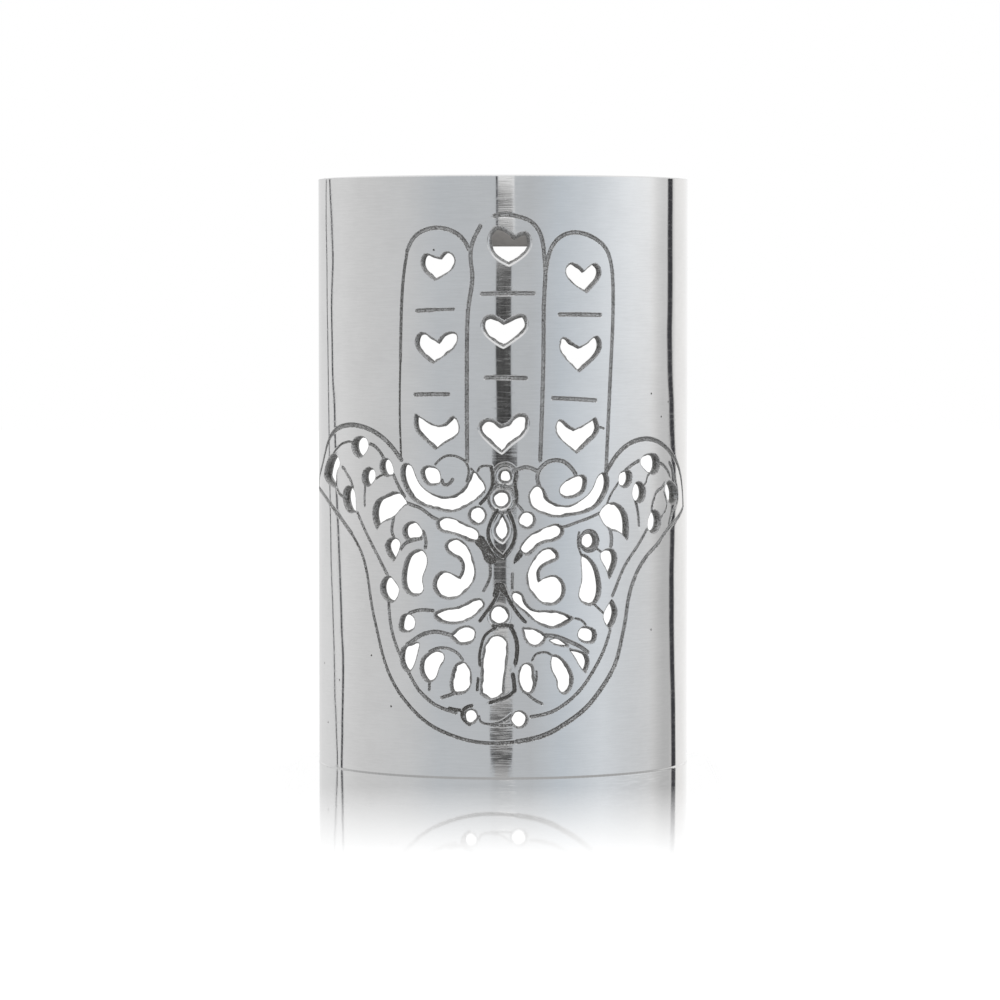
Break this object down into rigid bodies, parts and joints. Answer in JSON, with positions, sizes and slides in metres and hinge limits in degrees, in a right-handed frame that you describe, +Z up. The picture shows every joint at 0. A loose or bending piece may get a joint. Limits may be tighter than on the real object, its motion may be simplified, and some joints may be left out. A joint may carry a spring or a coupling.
{
  "type": "pierced half-round hand ornament",
  "caption": "Half-round cast metal shell standing on end, pierced and engraved as an open hamsa hand with hearts and scrolls, with a strap across its back to hang it by.",
  "frame": {"origin": "middle of the underside of the part's bounding box, on the surface that it stands on", "axes": "+Z up the shell; the round, engraved face looks along -Y; the open back looks along +Y; +X to the right seen from the front"},
  "size_m": [0.127, 0.0635, 0.2],
  "materials": {
    "cast_plate": "polished",
    "strap_bar": "mill",
    "weld_metal": "as welded"
  },
  "bodies": {
    "root": {"pierced_shell": "cast_plate", "hanging_strap": "strap_bar", "left_weld_bead": "weld_metal", "right_weld_bead": "weld_metal"}
  },
  "joints": []
}
